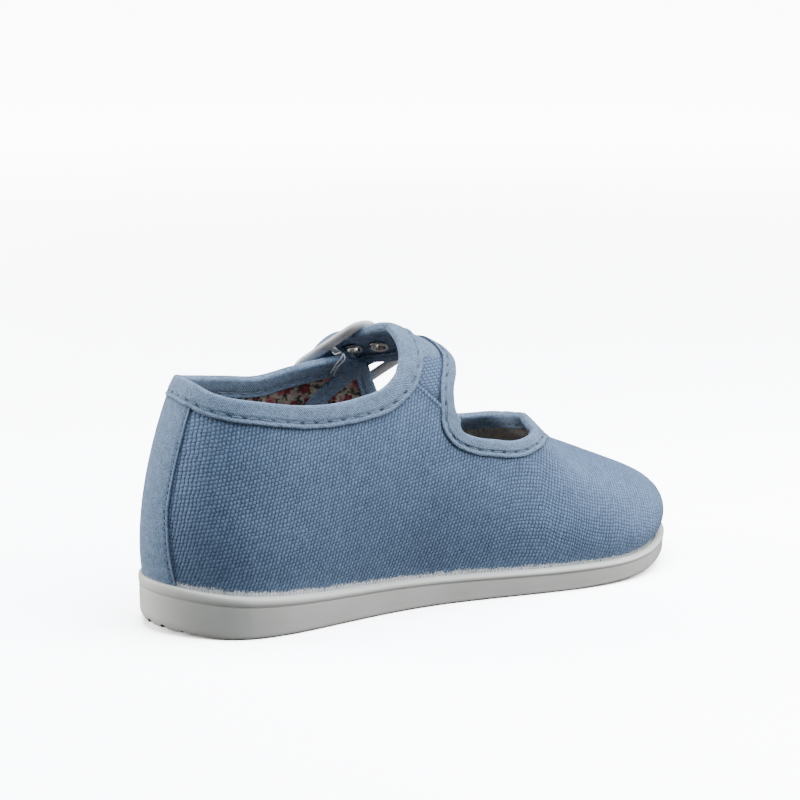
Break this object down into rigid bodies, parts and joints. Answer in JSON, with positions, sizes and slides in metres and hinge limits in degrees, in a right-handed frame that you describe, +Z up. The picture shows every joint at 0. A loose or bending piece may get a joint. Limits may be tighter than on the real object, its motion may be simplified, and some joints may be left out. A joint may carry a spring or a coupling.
{
  "type": "child's canvas mary jane shoe",
  "caption": "Child's canvas slip-in shoe for the left foot, with a bound collar and throat, a strap over the instep with an elastic root and a buckle, and a pale moulded rubber sole.",
  "frame": {"origin": "on the floor under the middle of the bounding box", "axes": "+X from heel to toe, +Y to the outer side of the left foot where the buckle is, +Z up"},
  "size_m": [0.1586, 0.0626, 0.073],
  "materials": {
    "sole": "smooth moulded, satin",
    "insole": "printed cotton over foam",
    "canvas": "basket weave cotton canvas, matte",
    "heel_tape": "twill tape, matte",
    "binding_tape": "folded bias tape with one row of stitches",
    "elastic": "ribbed elastic web",
    "strap_tape": "plain cloth, matte",
    "eyelet_metal": "bright metal",
    "buckle_white": "white enamel, glossy"
  },
  "bodies": {
    "root": {"sole": "sole", "insole": "insole", "upper": "canvas", "heel_strip": "heel_tape", "collar_binding": "binding_tape", "throat_binding": "binding_tape", "elastic_gore": "elastic", "strap": "strap_tape", "eyelet_a": "eyelet_metal", "eyelet_b": "eyelet_metal", "eyelet_c": "eyelet_metal", "eyelet_d": "eyelet_metal", "buckle_frame": "buckle_white", "buckle_prong": "buckle_white", "buckle_loop": "strap_tape"}
  },
  "joints": []
}
